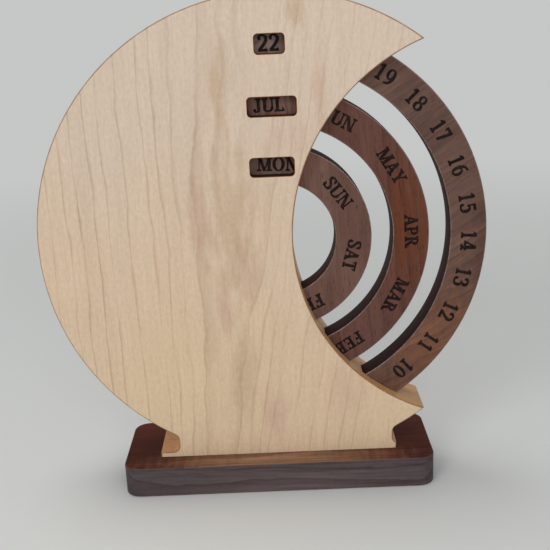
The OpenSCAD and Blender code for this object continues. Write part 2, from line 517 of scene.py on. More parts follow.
def makeMaple(name, board):
    material, vector = startMaterial(name, maple["specular"])
    wood = intoWood(vector, board["heart"])
    distance = useGroup(heartGroup, {
        "Vector": wood, "Lean": board["lean"], "Depth": board["depth"], "Reach": board["reach"],
        "Wander": 3.4, "Ripple": 0.9, "Seed": board["seed"]})["Distance"]
    height = (noise(wood, (40, 40, 80), 6.1) - 0.5) * 160.0 + axes(vector)["Z"] / mm
    colour = mixColour(ramp(height, *maple["creamRise"]), maple["tan"], maple["cream"])
    colour = addPatches(vector, colour, board["stains"])
    wear = useGroup(edgeWallGroup, {"Vector": vector, "Reach": 0.75, "Full": maple["edgeFull"]})
    colour = mixColour(wear["Wall"] * maple["cutShare"], colour, maple["cut"])

    evenYears = useGroup(yearGroup, {
        "Distance": distance, "Spacing": 3.3, "Sharpness": 5.0, "Uneven": 0.95})["Line"]
    lines = evenYears * maple["faintYears"]
    for radius, softness, strength in board["years"]:
        lines = calc("MAXIMUM", lines, useGroup(lineGroup, {
            "Vector": wood, "Distance": distance, "Radius": radius, "Softness": softness,
            "Strength": strength})["Line"])
    lines = lines * ramp(noise(wood, (9, 9, 42), 2.3), 0.3, 0.6, 0.35, 1.0)
    lines = lines * ramp(axes(wood)["X"], 15 * mm, 70 * mm, 1.0, board["paleSide"])
    colour = mixColour(lines, colour, maple["line"])
    fibres = useGroup(fibreGroup, {"Vector": wood, "Fine": 0.16, "Broad": 0.16, "Mottle": 0.34})
    colour = shaded(colour, fibres["Streaks"])

    toasted = mixColour(wear["Wall"], maple["edge"], maple["outerEdge"])
    colour = mixColour(wear["Edge"] * maple["edgeShare"], colour, toasted)
    return finishSurface(material, vector, colour, fibres["Height"], maple["roughness"], depth=0.03)


def makeBurntMaple():
    # the windows' walls, dark from a hot cutter and browner at the front edge
    material, vector = startMaterial("burntMaple", specular=0.25)
    depth = (axes(vector)["Y"] - frontLow.y) / mm
    soot = noise(vector, (1.2, 4, 1.2), detail=3)
    charred = mixColour(ramp(soot, 0.35, 0.7), maple["charred"], maple["sooty"])
    colour = mixColour(ramp(soot * 0.6 + depth, 0.35, 1.0, 0.95, 0.0), charred, maple["singed"])
    return finishSurface(material, vector, colour, soot, roughness=0.6, depth=0.08)


easing = {
    "flat": 0.3,            # degrees; faces that turn less than this become one
    "sharp": 40,            # edges that turn more than this are eased
    "shadeSharp": 35,       # and those that turn more than this shade as edges
    "levelShare": 0.9999,   # a flat side's normal has at least this much of its axis
    "segments": 3,
    "rimSegments": 2,
}


def welded(node):
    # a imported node's loose triangles, joined
    bm = bmesh.new()
    bm.from_mesh(frame["nodes"][node].data)
    bmesh.ops.remove_doubles(bm, verts=bm.verts, dist=weldReach)
    return bm


def isSharp(edge):
    return len(edge.link_faces) == 2 and edge.calc_face_angle(0) > radians(easing["sharp"])


def eased(name, bm, axis, widthOf, widest, *materials):
    # rounds every sharp edge to the width in millimetres that widthOf gives it; the piece's two flat
    # sides face along axis
    weights = bm.edges.layers.float.new("bevel_weight_edge")
    for edge in filter(isSharp, bm.edges):
        edge[weights] = widthOf(edge) / widest
    mesh = bpy.data.meshes.new(name)
    bm.to_mesh(mesh)
    bm.free()
    mesh.set_sharp_from_angle(angle=radians(easing["shadeSharp"]))
    for face in mesh.polygons:
        face.use_smooth = abs(face.normal[axis]) < easing["levelShare"]
    piece = newObject(name, mesh, *materials)
    bevel = piece.modifiers.new("eased edges", "BEVEL")
    bevel.width = widest * mm
    bevel.limit_method = "WEIGHT"
    bevel.segments = easing["segments"]
    bevel.harden_normals = True
    return piece


def flatFaced(node):
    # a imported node, joined to whole flat faces
    bm = welded(node)
    bmesh.ops.dissolve_limit(bm, angle_limit=radians(easing["flat"]), verts=bm.verts, edges=bm.edges)
    return bm


def middle(edge):
    return (edge.verts[0].co + edge.verts[1].co) / 2


def liesAt(edge, axis, level):
    return all(abs(vert.co[axis] - level) < levelReach for vert in edge.verts)


# the windows lie one above another over the dials' axis, clear of the outline
windowZone = {"halfWidth": 15.2, "overAxis": 41, "underTop": 8, "depth": 9.1}   # depth of their walls


def inWindows(point):
    bottom = dialCentre.z + windowZone["overAxis"] * mm
    top = frontHigh.z - windowZone["underTop"] * mm
    return abs(point.x - dialCentre.x) < windowZone["halfWidth"] * mm and bottom < point.z < top


burntFace = 1   # a board's second material


def burnWindows(bm, outerY):
    # eases the windows' front edges and gives rims and walls the burnt material
    rims = [edge for edge in bm.edges
            if inWindows(middle(edge)) and liesAt(edge, 1, outerY) and isSharp(edge)]
    bmesh.ops.bevel(bm, geom=rims, offset=maple["windowRim"] * mm, segments=easing["rimSegments"],
                    profile=0.5, affect="EDGES", material=burntFace, clamp_overlap=True)
    for face in bm.faces:
        point = face.calc_center_median()
        isWall = abs(face.normal.y) < 0.5 and point.y < outerY + windowZone["depth"] * mm
        if isWall and inWindows(point):
            face.material_index = burntFace


def makeBoard(node, outerY, jointY, *materials):
    bm = flatFaced(node)
    if node == "front_board":
        burnWindows(bm, outerY)

    def widthOf(edge):
        if inWindows(middle(edge)):
            return 0
        if liesAt(edge, 1, outerY):
            return maple["outlineRound"]
        return maple["jointEase"] if liesAt(edge, 1, jointY) else 0

    piece = eased("maple_" + node, bm, 1, widthOf, maple["outlineRound"], *materials)
    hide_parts(node)
    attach(piece, "root")


makeBoard("front_board", frontLow.y, frontHigh.y, makeMaple("mapleFront", frontBoard), makeBurntMaple())
makeBoard("back_board", backHigh.y, backLow.y, makeMaple("mapleBack", backBoard))
print("boards: front and back")


# walnut, for the base and the rings

walnut = {   # what all of them share
    "poreShare": 0.6,
    "poreShade": 0.4,      # a pore's colour as a share of the dark one
    "scorch": (0.014, 0.008, 0.007),
    "scorchShare": 0.85,
}


def makeWalnut(name, look):
    # look holds the wood's place in the tree, its colours and the strength of each effect; only a wood with
    # a wall colour gets wall and edge colours: on the base, painted sheen on its sides and a painted
    # highlight on its rounded edges
    material, vector = startMaterial(name, look["specular"])
    wood = intoWood(vector, look["heart"], look["turn"])
    distance = useGroup(heartGroup, {"Vector": wood, "Lean": 0.03, "Wander": look["wander"],
                                     "Ripple": 1.2, "Seed": look["seed"]})["Distance"]
    years = useGroup(yearGroup, {"Distance": distance, "Spacing": look["spacing"], "Sharpness": 2.4,
                                 "Uneven": 0.75})["Line"]
    fibres = useGroup(fibreGroup, {"Vector": wood, "Fine": look["fine"], "Broad": look["broad"],
                                   "Mottle": 0.2})
    pores = useGroup(poreGroup, {"Vector": wood, "Amount": look["pores"]})["Mask"]
    clouds = noise(wood, (22, 22, 60), 4.4)
    colour = mixColour(ramp(clouds, 0.36, 0.64), look["light"], look["second"])
    colour = addPatches(intoWood(vector, (0, 0, 0), look["patchTurn"]), colour, look["stains"],
                       look["ragged"])
    # curly figure: short bands of light across the grain
    curl = (noise(wood, (16, 16, 3.6), 1.1, distortion=0.7) - 0.5) * look["curl"]
    # painted sheen: the base's sides get a greyer colour of their own
    if "wall" in look:
        wear = useGroup(edgeWallGroup, {"Vector": vector, "Axis": (0, 0, 1), "Reach": 0.35})
        colour = mixColour(wear["Wall"] * look["wallShare"], colour, look["wall"])
    colour = mixColour(years * look["contrast"], colour, look["dark"])
    colour = shaded(colour, fibres["Streaks"] + curl)
    poreColour = [v * walnut["poreShade"] for v in look["dark"]]
    colour = mixColour(pores * walnut["poreShare"], colour, poreColour)
    # painted highlight: the base's rounded edges get a lighter colour
    if "wall" in look:
        colour = mixColour(wear["Edge"] * look["edgeShare"], colour, look["edge"])
    # the cutter's scorch marks fade out round every letter
    scorch = addNode(vector.tree, "ShaderNodeAttribute", attribute_name="scorch")["Fac"]
    colour = mixColour(scorch * walnut["scorchShare"], colour, walnut["scorch"])
    height = fibres["Height"] * 0.5 - pores
    return finishSurface(material, vector, colour, height, look["roughness"])


walnutBase = {
    "heart": (0, 30, -40), "turn": (0, 90, 0), "wander": 4.0, "seed": 0.33, "spacing": 4.2,
    "contrast": 0.5, "fine": 0.5, "broad": 0.8, "pores": 0.4, "curl": 0.06,
    "light": (0.1, 0.023, 0.012), "second": (0.078, 0.017, 0.009), "dark": (0.026, 0.009, 0.007),
    # the sides' grey-purple colour is painted sheen, and the lighter edge colour is a painted highlight
    "wall": (0.079, 0.067, 0.072), "wallShare": 0.92, "edge": (0.14, 0.09, 0.08), "edgeShare": 0.4,
    "specular": 0.03, "roughness": 0.32,
    "patchTurn": (90, 0, 0),   # its one patch, on the top and counted by x and y, is a painted reflection of the maple boards in the strip in front of them
    "ragged": 0.5, "stains": [(0, -31, 108, 32, 1.0, (0.32, 0.18, 0.108))],
    "topRound": 0.9, "footRound": 1.3, "mortiseEase": 0.3,   # millimetres
    "outlineZone": 10.2,       # edges nearer the outline than this belong to it
}


def makeBase():
    zone = walnutBase["outlineZone"] * mm

    def widthOf(edge):
        point = middle(edge)
        onOutline = baseHigh.x - abs(point.x) < zone or baseHigh.y - abs(point.y) < zone
        if liesAt(edge, 2, baseHigh.z):
            return walnutBase["topRound"] if onOutline else walnutBase["mortiseEase"]
        return walnutBase["footRound"] if onOutline and liesAt(edge, 2, baseLow.z) else 0

    piece = eased("walnut_base", flatFaced("base"), 2, widthOf, walnutBase["footRound"],
                  makeWalnut("walnutBase", walnutBase))
    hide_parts("base")
    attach(piece, "root")


makeBase()
print("base: walnut with eased edges")


# the labels' letters: a bold serif cut, every size in cap heights

lettering = {
    "thick": 0.215,      # upright strokes
    "thin": 0.095,       # hairlines, bars and serifs
    "serifReach": 0.1,   # how far a serif sticks out past its stroke
    "bracket": 0.06,     # height of the slope between stroke and serif
    "curveSteps": 5,     # straight pieces between two points of a curve
}
thick, thin = lettering["thick"], lettering["thin"]


def block(x0, y0, x1, y1):
    return [[(x0, y0), (x1, y0), (x1, y1), (x0, y1)]]


def bars(x0, x1, *levels):
    return [shape for y in levels for shape in block(x0, y, x1, y + thin)]


def slant(x0, y0, x1, y1, width):
    # a slanted stroke with level ends, from (x0, y0) up to (x1, y1)
    return [[(x0, y0), (x0 + width, y0), (x1 + width, y1), (x1, y1)]]


def serif(x, width, y, up):
    # a slab under a stroke that starts at x; up is 1 on the baseline and -1 on the cap line
    left, right = x - lettering["serifReach"], x + width + lettering["serifReach"]
    slab, slope = y + up * thin * 0.7, y + up * (thin + lettering["bracket"])
    points = [(left, y), (right, y), (right, slab), (x + width, slope), (x, slope), (left, slab)]
    return [points if up > 0 else points[::-1]]


def stem(x, width=thick, bottom=0.0, top=1.0, feet="both"):
    shapes = block(x, bottom, x + width, top)
    if feet in ("both", "bottom"):
        shapes += serif(x, width, bottom, 1)
    if feet in ("both", "top"):
        shapes += serif(x, width, top, -1)
    return shapes


def beak(x, y, reach, height):
    # the pointed end of a bar: reach is its width, height goes up or down
    points = [(x, y), (x + reach, y), (x + reach, y + height)]
    return [points if reach * height > 0 else points[::-1]]


def beakedBar(x0, x1, y, reach, *heights, bothEnds=False):
    # a level bar with a beak of each height at its right end, and at the left one too
    shapes = bars(x0, x1, y)
    for height in heights:
        level = y if height < 0 else y + thin
        if bothEnds:
            shapes += beak(x0, level, reach, height)
        shapes += beak(x1, level, -reach, height)
    return shapes


def ball(x, y, radius):
    return [[(x + radius * cos(k * pi / 5), y + radius * sin(k * pi / 5)) for k in range(10)]]


def smoothPath(points):
    # a Catmull-Rom curve through the points
    steps = lettering["curveSteps"]
    ends = [points[0]] + points + [points[-1]]
    path = []
    for i in range(1, len(ends) - 2):
        for s in range(steps):
            t = s / steps
            path.append(tuple(
                0.5 * (2 * b + (c - a) * t + (2 * a - 5 * b + 4 * c - d) * t ** 2
                       + (3 * b - a - 3 * c + d) * t ** 3)
                for a, b, c, d in zip(*ends[i - 1:i + 3])))
    return path + [points[-1]]


def pen(points, swell=1.0):
    # a broad nib held upright: thick where the stroke runs up or down, thin where it runs level
    path = smoothPath(points)
    sides = []
    for i, (x, y) in enumerate(path):
        before, after = path[max(i - 1, 0)], path[min(i + 1, len(path) - 1)]
        dx, dy = after[0] - before[0], after[1] - before[1]
        length = hypot(dx, dy)
        growth = (thick * swell - thin) * (abs(dy) / length) ** 1.3
        nx, ny = (v / length * (thin + growth) / 2 for v in (-dy, dx))
        sides.append(((x + nx, y + ny), (x - nx, y - ny)))
    return [[a[1], b[1], b[0], a[0]] for a, b in zip(sides, sides[1:])]


def arc(cx, cy, rx, ry, start=0, end=360, swell=1.0):
    # part of an upright oval, its outer edge on rx and ry, drawn counterclockwise in degrees
    steps = max(6, round(abs(end - start) / 20))
    angles = [radians(start + (end - start) * k / steps) for k in range(steps + 1)]
    outer = [(cx + rx * cos(a), cy + ry * sin(a)) for a in angles]
    inner = [(cx + (rx - thick * swell) * cos(a), cy + (ry - thin) * sin(a)) for a in angles]
    return [[o0, o1, i1, i0] for o0, o1, i0, i1 in zip(outer, outer[1:], inner, inner[1:])]


def bowl(cx, cy, rx, ry):
    return arc(cx, cy, rx, ry, -90, 90)


def six():
    return (arc(0.37, 0.33, 0.31, 0.34, swell=0.85)
            + pen([(0.13, 0.36), (0.15, 0.58), (0.3, 0.86), (0.58, 0.97)], 0.85))


def makeGlyphs():
    # each letter's advance and its overlapping shapes
    letterC = (arc(0.5, 0.5, 0.46, 0.51, 48, 318) + block(0.77, 0.66, 0.77 + thin, 1)
               + beak(0.77 + thin, 0.66, -0.16, 0.24))
    letterF = (stem(0.12) + beakedBar(0.2, 0.72, 1 - thin, 0.12, -0.2)
               + beakedBar(0.2, 0.58, 0.46, 0.07, 0.12, -0.12))
    letters = {
        "A": (0.92, slant(0.1, 0, 0.42, 1, thin * 1.1) + slant(0.65, 0, 0.36, 1, thick)
              + bars(0.24, 0.7, 0.28) + serif(0.1, thin, 0, 1) + serif(0.65, thick, 0, 1)),
        "B": (0.84, stem(0.12) + bowl(0.4, 0.755, 0.3, 0.255) + bowl(0.42, 0.27, 0.36, 0.275)
              + bars(0.2, 0.41, 1 - thin) + bars(0.2, 0.43, 0.47, 0)),
        "C": (0.86, letterC),
        "D": (0.94, stem(0.12) + bowl(0.42, 0.5, 0.46, 0.5) + bars(0.2, 0.43, 1 - thin, 0)),
        "E": (0.82, letterF + beakedBar(0.2, 0.76, 0, 0.13, 0.22)),
        "F": (0.78, letterF),
        "G": (0.94, letterC + stem(0.68, thick * 0.9, 0.06, 0.42, "top")),
        "H": (1.0, stem(0.12) + stem(0.68) + bars(0.2, 0.8, 0.46)),
        "I": (0.46, stem(0.125)),
        "J": (0.66, stem(0.31, bottom=0.2, feet="top")
              + pen([(0.415, 0.26), (0.39, 0.1), (0.25, 0.04), (0.13, 0.1)]) + ball(0.13, 0.15, 0.1)),
        "L": (0.8, stem(0.12) + beakedBar(0.2, 0.74, 0, 0.14, 0.26)),
        "M": (1.14, stem(0.12, thin) + stem(0.82) + slant(0.46, 0, 0.12, 1, thick)
              + slant(0.53, 0, 0.84, 1, thin)),
        "N": (0.96, stem(0.14, thin) + stem(0.75, thin) + slant(0.62, 0, 0.12, 1, thick)),
        "O": (0.98, arc(0.49, 0.5, 0.45, 0.51)),
        "P": (0.8, stem(0.12) + bowl(0.4, 0.73, 0.34, 0.27) + bars(0.2, 0.41, 1 - thin, 0.46)),
        "R": (0.92, stem(0.12) + bowl(0.4, 0.745, 0.33, 0.255) + bars(0.2, 0.41, 1 - thin, 0.49)
              + slant(0.64, 0, 0.35, 0.53, thick) + serif(0.68, thick * 0.8, 0, 1)),
        "S": (0.72, pen([(0.6, 0.8), (0.5, 0.92), (0.34, 0.95), (0.17, 0.85), (0.2, 0.66), (0.42, 0.5),
                         (0.57, 0.33), (0.53, 0.12), (0.34, 0.05), (0.18, 0.1), (0.09, 0.24)], 1.1)
              + block(0.57, 0.68, 0.57 + thin * 0.8, 1) + block(0.06, 0, 0.06 + thin * 0.8, 0.34)),
        "T": (0.86, stem(0.325, feet="bottom")
              + beakedBar(0.06, 0.8, 1 - thin, 0.13, -0.22, bothEnds=True)),
        "U": (0.94, stem(0.12, bottom=0.3, feet="top") + stem(0.74, thin, 0.3, feet="top")
              + pen([(0.227, 0.32), (0.25, 0.14), (0.42, 0.05), (0.6, 0.07), (0.74, 0.18),
                     (0.787, 0.34)])),
        "V": (0.92, slant(0.4, 0, 0.13, 1, thick) + slant(0.44, 0, 0.76, 1, thin)
              + serif(0.13, thick, 1, -1) + serif(0.76, thin, 1, -1)),
        "W": (1.26, slant(0.31, 0, 0.1, 1, thick) + slant(0.35, 0, 0.56, 1, thin)
              + slant(0.76, 0, 0.55, 1, thick) + slant(0.8, 0, 1.08, 1, thin)
              + serif(0.1, thick, 1, -1) + serif(0.55, thick, 1, -1) + serif(1.08, thin, 1, -1)),
        "Y": (0.9, stem(0.35, top=0.46, feet="bottom") + slant(0.35, 0.42, 0.1, 1, thick)
              + slant(0.46, 0.42, 0.72, 1, thin) + serif(0.1, thick, 1, -1) + serif(0.72, thin, 1, -1)),
    }
    digits = {
        "0": arc(0.37, 0.5, 0.33, 0.5, swell=0.9),
        "1": stem(0.3, thick * 0.9, feet="bottom") + slant(0.14, 0.8, 0.3, 1, thick * 0.9),
        "2": (pen([(0.11, 0.73), (0.18, 0.89), (0.36, 0.95), (0.55, 0.84), (0.57, 0.64), (0.42, 0.4),
                   (0.25, 0.2), (0.14, 0.08)])
              + block(0.08, 0, 0.64, 0.14) + beak(0.68, 0, -0.13, 0.27) + ball(0.14, 0.74, 0.08)),
        "3": (pen([(0.12, 0.8), (0.2, 0.91), (0.36, 0.95), (0.53, 0.86), (0.53, 0.68), (0.4, 0.56),
                   (0.28, 0.53)])
              + pen([(0.28, 0.53), (0.45, 0.51), (0.58, 0.39), (0.57, 0.16), (0.4, 0.05), (0.2, 0.07),
                     (0.1, 0.18)]) + ball(0.13, 0.2, 0.08) + ball(0.14, 0.79, 0.07)),
        "4": (block(0.41, 0, 0.41 + thick, 1) + slant(0.04, 0.25, 0.45, 1, thin * 1.2)
              + block(0.05, 0.22, 0.71, 0.22 + thin * 1.3) + serif(0.41, thick, 0, 1)),
        "5": (block(0.18, 0.5, 0.18 + thin, 0.94) + block(0.18, 0.85, 0.62, 1)
              + pen([(0.2, 0.52), (0.34, 0.6), (0.49, 0.56), (0.59, 0.41), (0.57, 0.17), (0.4, 0.05),
                     (0.2, 0.07), (0.1, 0.17)]) + ball(0.13, 0.18, 0.08)),
        "6": six(),
        "7": (block(0.1, 0.85, 0.66, 1) + beak(0.1, 0.85, 0.11, -0.18)
              + slant(0.23, 0, 0.48, 0.87, thick * 0.85)),
        "8": arc(0.37, 0.745, 0.275, 0.255, swell=0.75) + arc(0.37, 0.27, 0.325, 0.27, swell=0.9),
        "9": [[(0.74 - x, 1 - y) for x, y in shape] for shape in six()],
    }
    return {**letters, **{digit: (0.74, shapes) for digit, shapes in digits.items()}}


glyphs = makeGlyphs()


def labelShapes(text, height, squeeze):
    # the shapes of one label in millimetres, its middle at the origin
    shapes, x = [], -sum(glyphs[letter][0] for letter in text) / 2
    for letter in text:
        advance, parts = glyphs[letter]
        shapes += [[((x + px) * height * squeeze, (py - 0.5) * height) for px, py in part]
                   for part in parts]
        x += advance
    return shapes


def swollen(shape, margin):
    # a convex counterclockwise shape with its sides moved out
    spread = []
    for i, (x, y) in enumerate(shape):
        before, after = shape[i - 1], shape[(i + 1) % len(shape)]
        a = Vector((y - before[1], before[0] - x)).normalized()
        b = Vector((after[1] - y, x - after[0])).normalized()
        out = (a + b) / max(1 + a.dot(b), 0.5)   # very sharp corners move out less
        spread.append((x + out.x * margin, y + out.y * margin))
    return spread


# the three rings

ringShape = {
    "band": 22.6,        # width of a ring, millimetres
    "round": 0.6,        # rounding of its edges
    "roundSteps": 4,
    "segments": 256,
    "openFrom": 0.004,   # the band's faces nearer its front than this are left out
    "cutDepth": 1.0,     # how deep the labels are cut
    "scorch": 0.4,       # how far scorch marks reach round them
    "edgeFrom": 0.985,   # a face whose normal has less than this along the axis is an edge
    "wallFrom": 0.2,     # and with less than this a wall
    "sharpFrom": 12,     # degrees; edges that turn more than this shade as edges
    "join": 1e-4,        # corners of letters that lie closer than this are one
    "eyeReach": 0.01,    # a corner this near the ring's eye lies on its circle
}
woodFace, floorFace, wallFace, sawnFace, edgeFace = range(5)   # a ring's materials in their order
months = ["JAN", "FEB", "MAR", "APR", "MAY", "JUN", "JUL", "AUG", "SEP", "OCT", "NOV", "DEC"]
weekdays = ["MON", "TUE", "WED", "THU", "FRI", "SAT", "SUN"]
ringFinish = {"patchTurn": (0, 0, 0), "ragged": 1.6, "specular": 0.08, "roughness": 0.5}

# labels stand tops outward and go round counterclockwise; shown is the one in the window, lean its
# turn from upright in degrees, rise its height above the band's middle
rings = {
    "date_ring": {
        "body": "date_dial", "texts": [str(n + 1) for n in range(31)], "shown": 21, "lean": 0.35,
        "height": 9.8, "squeeze": 0.93, "rise": 0.3,
        "wood": {
            **ringFinish, "heart": (150, 40, -20), "turn": (5, -56, 0), "wander": 9.0, "seed": 0.51,
            "spacing": 6.0, "contrast": 0.62, "fine": 0.45, "broad": 0.6, "pores": 0.35, "curl": 0.2,
            "light": (0.137, 0.077, 0.06), "second": (0.113, 0.063, 0.05), "dark": (0.058, 0.03, 0.024),
            "stains": [
                (105, 84, 58, 72, 0.95, (0.19, 0.085, 0.05)), (119, 158, 8, 24, 0.6, (0.17, 0.09, 0.06)),
                # the last patch is painted light: it brightens the face where the date window shows it,
                # against the window's shade
                (133, 150, 7, 60, 0.5, (0.1, 0.045, 0.03)), (6, 283, 22, 16, 0.85, (0.3, 0.208, 0.174))]},
    },
    "month_ring": {
        "body": "month_dial", "texts": months, "shown": 6, "lean": 1.4,
        "height": 8.3, "squeeze": 0.97, "rise": 0.15,
        "wood": {
            **ringFinish, "heart": (150, 40, 100), "turn": (0, 5, 0), "wander": 4.0, "seed": 0.26,
            "spacing": 6.5, "contrast": 0.6, "fine": 0.42, "broad": 0.4, "pores": 0.55, "curl": 0.06,
            "light": (0.136, 0.062, 0.046), "second": (0.114, 0.05, 0.038), "dark": (0.046, 0.02, 0.015),
            "stains": [
                (84, 170, 34, 64, 0.95, (0.136, 0.041, 0.019)), (66, 96, 34, 36, 0.5, (0.118, 0.056, 0.05)),
                # the last patch is painted light: it brightens the face where the month window shows it,
                # against the window's shade
                (8, 247, 30, 14, 0.9, (0.23, 0.125, 0.1))]},
    },
    "weekday_ring": {
        "body": "weekday_dial", "texts": weekdays, "shown": 0, "lean": -2.0,
        "height": 8.5, "squeeze": 0.96, "rise": 0.2,
        "wood": {
            **ringFinish, "heart": (60, 34, 150), "turn": (0, 3, 0), "wander": 3.0, "seed": 0.94,
            "spacing": 5.0, "contrast": 0.45, "fine": 0.42, "broad": 0.34, "pores": 0.5, "curl": 0.06,
            "light": (0.158, 0.084, 0.066), "second": (0.132, 0.067, 0.051), "dark": (0.055, 0.027, 0.021),
            # this patch is painted light: it brightens the face where the weekday window shows it, against
            # the window's shade
            "stains": [(6, 211, 26, 14, 0.7, (0.21, 0.125, 0.1))]},
    },
}


def endTree(tree, result, geometry, material):
    # makes instances real and gives them their material
    whole = addShape(tree, "RealizeInstances", {0: geometry})
    plug(addShape(tree, "SetMaterial", {0: whole, "Material": material}), result["Geometry"])
    return tree


def makeRingTree():
    # a band with rounded edges swept round a circle, its front left open for the engraved face
    tree, given, result = newGroup("ring body", {
        "Middle Radius": 0.1, "Width": 0.02, "Thickness": 0.018, "Rounding": 0.001, "Segments": 128,
        "Centre": (0, 0, 0), "Wood": "Material"}, "Geometry", kind="GeometryNodeTree")
    profile = addShape(tree, "CurvePrimitiveQuadrilateral", {
        "Width": given["Width"], "Height": given["Thickness"]})
    profile = addShape(tree, "FilletCurve", {
        "Curve": profile, "Count": ringShape["roundSteps"], "Radius": given["Rounding"]}, mode="POLY")
    circle = addShape(tree, "CurvePrimitiveCircle", {
        "Resolution": given["Segments"], "Radius": given["Middle Radius"]})
    band = addShape(tree, "CurveToMesh", {"Curve": circle, "Profile Curve": profile})
    height = axes(addShape(tree, "InputPosition"))["Z"]
    front = given["Thickness"] * 0.5 - ringShape["openFrom"] * mm
    openBand = addShape(tree, "DeleteGeometry", {
        "Geometry": band, "Selection": calc("GREATER_THAN", height, front)}, domain="FACE")
    turned = addShape(tree, "Transform", {
        "Geometry": openBand, "Translation": given["Centre"], "Rotation": facingFront})
    return endTree(tree, result, turned, given["Wood"])


def engravedFace(bm, innerRadius, outerRadius, frontY, shapes):
    # adds a ring's flat front: triangles between its two circles, the letters sunk into it
    segments = ringShape["segments"]
    points, edges, faces = [], [], []
    for radius in (innerRadius, outerRadius):
        first = len(points)
        points += [Vector((radius * cos(2 * pi * k / segments), radius * sin(2 * pi * k / segments)))
                   for k in range(segments)]
        edges += [(first + k, first + (k + 1) % segments) for k in range(segments)]
    for shape in shapes + [swollen(shape, ringShape["scorch"]) for shape in shapes]:
        faces.append(list(range(len(points), len(points) + len(shape))))
        points += [Vector(p) for p in shape]
    spots, _, triangles, _, _, owners = delaunay_2d_cdt(points, edges, faces, 0, ringShape["join"])
    scorch = bm.verts.layers.float.new("scorch")
    levels = {"top": (frontY, {}), "floor": (frontY + ringShape["cutDepth"] * mm, {})}

    def vert(level, i):
        y, made = levels[level]
        if i not in made:
            made[i] = bm.verts.new((dialCentre.x + spots[i].x * mm, y, dialCentre.z + spots[i].y * mm))
        return made[i]

    outline = {}
    for triangle, owner in zip(triangles, owners):
        corners = [spots[i] for i in triangle]
        if max(corner.length for corner in corners) < innerRadius + ringShape["eyeReach"]:
            continue   # inside the ring's eye
        if (corners[1] - corners[0]).cross(corners[2] - corners[0]) < 0:
            triangle = triangle[::-1]
        isCut = any(k < len(shapes) for k in owner)
        face = bm.faces.new([vert("floor" if isCut else "top", i) for i in triangle])
        face.material_index = floorFace if isCut else woodFace
        if isCut:
            for i, j in zip(triangle, triangle[1:] + triangle[:1]):
                if outline.pop((j, i), None) is None:
                    outline[(i, j)] = True
    for i, j in outline:
        corners = [vert("top", i), vert("top", j), vert("floor", j), vert("floor", i)]
        bm.faces.new(corners).material_index = wallFace
        for corner in corners[:2]:
            corner[scorch] = 1


def makeDark(name, dark, light, specular, roughness, depth):
    # dark wood: the letters and the rings' sawn walls, scorched, and the rings' rounded edges, lighter and
    # partly a painted highlight
    material, vector = startMaterial(name, specular)
    soot = noise(vector, (0.8, 0.8, 2.2), detail=3, rough=0.6)
    patches = noise(vector, (7, 7, 9), 3.3)
    colour = mixColour(ramp(patches * 0.5 + soot, 0.55, 0.98), dark, light)
    return finishSurface(material, vector, colour, soot, roughness, depth)


darkWoods = [   # dark and light colour, specular, roughness, the bump's depth
    makeDark("letterFloor", (0.01, 0.006, 0.005), (0.034, 0.021, 0.019), 0.08, 0.7, 0.12),
    makeDark("letterWall", (0.008, 0.004, 0.004), (0.02, 0.012, 0.01), 0.15, 0.7, 0.1),
    makeDark("ringWall", (0.02, 0.006, 0.005), (0.045, 0.014, 0.011), 0.12, 0.7, 0.08),
    # the rings' rounded edges: lighter than the faces, partly a painted highlight
    makeDark("ringEdgeHighlight", (0.11, 0.06, 0.048), (0.24, 0.155, 0.13), 0.5, 0.32, 0.03),
]
ringTree = makeRingTree()


def makeRing(node, ring):
    low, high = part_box(node)
    outerRadius = (high.x - low.x) / 2 / mm
    innerRadius = outerRadius - ringShape["band"]
    middleRadius = (innerRadius + outerRadius) / 2
    piece = grown("engraved_" + node, ringTree, {
        "Middle Radius": middleRadius * mm, "Width": ringShape["band"] * mm,
        "Thickness": high.y - low.y, "Rounding": ringShape["round"] * mm,
        "Segments": ringShape["segments"], "Centre": dialCentre,
        "Wood": makeWalnut("walnut" + node.title().replace("_", ""), ring["wood"]),
    })
    shapes = []
    labelRadius = middleRadius + ring["rise"]
    for k, text in enumerate(ring["texts"]):
        angle = radians(90 + ring["lean"] + (k - ring["shown"]) * 360 / len(ring["texts"]))
        for shape in labelShapes(text, ring["height"], ring["squeeze"]):
            shapes.append([((labelRadius + v) * cos(angle) + u * sin(angle),
                            (labelRadius + v) * sin(angle) - u * cos(angle)) for u, v in shape])
    bm = bmesh.new()
    bm.from_mesh(piece.data)
    engravedFace(bm, innerRadius + ringShape["round"], outerRadius - ringShape["round"], low.y, shapes)
    seams = [vert for vert in bm.verts if vert.is_boundary]
    bmesh.ops.remove_doubles(bm, verts=seams, dist=levelReach)
    bmesh.ops.recalc_face_normals(bm, faces=bm.faces)
    for face in bm.faces:
        face.smooth = True
        along = abs(face.normal.y)
        if face.material_index == woodFace and along < ringShape["edgeFrom"]:
            face.material_index = sawnFace if along < ringShape["wallFrom"] else edgeFace
    bm.to_mesh(piece.data)
    bm.free()
    for material in darkWoods:
        piece.data.materials.append(material)
    piece.data.set_sharp_from_angle(angle=radians(ringShape["sharpFrom"]))
    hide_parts(node)
    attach(piece, ring["body"])
    print("ring:", node, len(ring["texts"]), "labels,", len(piece.data.polygons), "faces")


for node, ring in rings.items():
    makeRing(node, ring)


# what holds it together: dowels between the boards and screws up through the base

def partMiddles(node):
    # the middle of each separate solid of a node, in the order of their corners
    bm = welded(node)
    left, middles = set(bm.verts), []
    for start in bm.verts:
        part = front = {start} & left
        while front:
            left -= front
            front = {other for vert in front for edge in vert.link_edges for other in edge.verts} & left
            part = part | front
        if part:
            corners = [[pick(vert.co[axis] for vert in part) for axis in range(3)] for pick in (min, max)]
            middles.append((Vector(corners[0]) + Vector(corners[1])) / 2)
    bm.free()
    return middles


